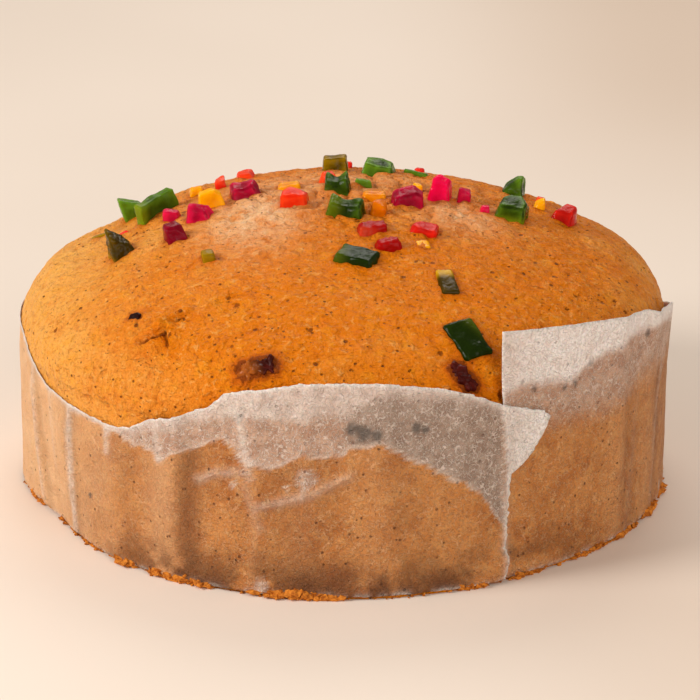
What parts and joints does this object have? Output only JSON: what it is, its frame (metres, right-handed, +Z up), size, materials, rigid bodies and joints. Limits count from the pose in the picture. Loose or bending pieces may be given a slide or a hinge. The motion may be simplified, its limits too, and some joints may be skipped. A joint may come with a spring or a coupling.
{
  "type": "tutti frutti cake",
  "caption": "Whole round domed tutti frutti cake with candied fruit dice in its crust, in its strip of baking paper.",
  "frame": {"origin": "middle of the flat base, on the axis of the tin the cake was baked in, at the level the cake stands on", "axes": "+Z up through the crown; -Y is the side where the two ends of the paper strip meet; +X to the right seen from there"},
  "size_m": [0.1503, 0.1537, 0.0713],
  "materials": {
    "crust": "soft matt baked crust, a little greasy on the crown",
    "baking_paper": "thin greasy baking paper, brown where it sticks to the crust, whitish where it stands free",
    "fruit_green": "translucent glossy candied green fruit",
    "fruit_olive": "translucent glossy candied olive-green fruit",
    "fruit_crimson": "translucent glossy candied crimson fruit",
    "fruit_red": "translucent glossy candied red fruit",
    "fruit_orange": "translucent glossy candied orange fruit",
    "fruit_amber": "translucent glossy candied yellow fruit",
    "fruit_pink": "translucent glossy candied pink fruit",
    "fruit_raisin": "wrinkled dark baked fruit, half glossy"
  },
  "bodies": {
    "root": {"amber_behind": "fruit_amber", "amber_block": "fruit_amber", "amber_flat": "fruit_amber", "amber_melted": "fruit_amber", "amber_rear_left": "fruit_amber", "amber_right": "fruit_amber", "amber_slab": "fruit_amber", "amber_upright": "fruit_amber", "cake_sponge": "crust", "cherry_wrinkled": "fruit_raisin", "crimson_beside": "fruit_crimson", "crimson_cube": "fruit_crimson", "crimson_dimpled": "fruit_crimson", "crimson_dot": "fruit_crimson", "crimson_roof": "fruit_crimson", "crimson_trapeze": "fruit_crimson", "crimson_wedge": "fruit_crimson", "far_die_01": "fruit_green", "far_die_02": "fruit_red", "far_die_03": "fruit_amber", "far_die_04": "fruit_crimson", "far_die_05": "fruit_orange", "far_die_06": "fruit_olive", "green_crest": "fruit_green", "green_cube": "fruit_green", "green_diamond": "fruit_green", "green_hollow": "fruit_green", "green_lobed": "fruit_green", "green_pyramid": "fruit_green", "green_rhombus": "fruit_green", "green_shard": "fruit_green", "green_slab": "fruit_green", "green_streak": "fruit_olive", "green_strip": "fruit_green", "green_wedge": "fruit_green", "olive_chip": "fruit_olive", "olive_peak": "fruit_olive", "olive_square": "fruit_olive", "olive_sunk": "fruit_olive", "orange_brick": "fruit_orange", "orange_chip": "fruit_orange", "orange_far_right": "fruit_orange", "orange_rear_left": "fruit_orange", "paper_wrap": "baking_paper", "pink_tall": "fruit_pink", "raisin_chip": "fruit_raisin", "raisin_front": "fruit_raisin", "red_chunk": "fruit_red", "red_crest": "fruit_red", "red_crest_right": "fruit_red", "red_cube_left": "fruit_red", "red_flat": "fruit_red", "red_right": "fruit_red", "red_right_front": "fruit_red", "red_sunk": "fruit_red"}
  },
  "joints": []
}
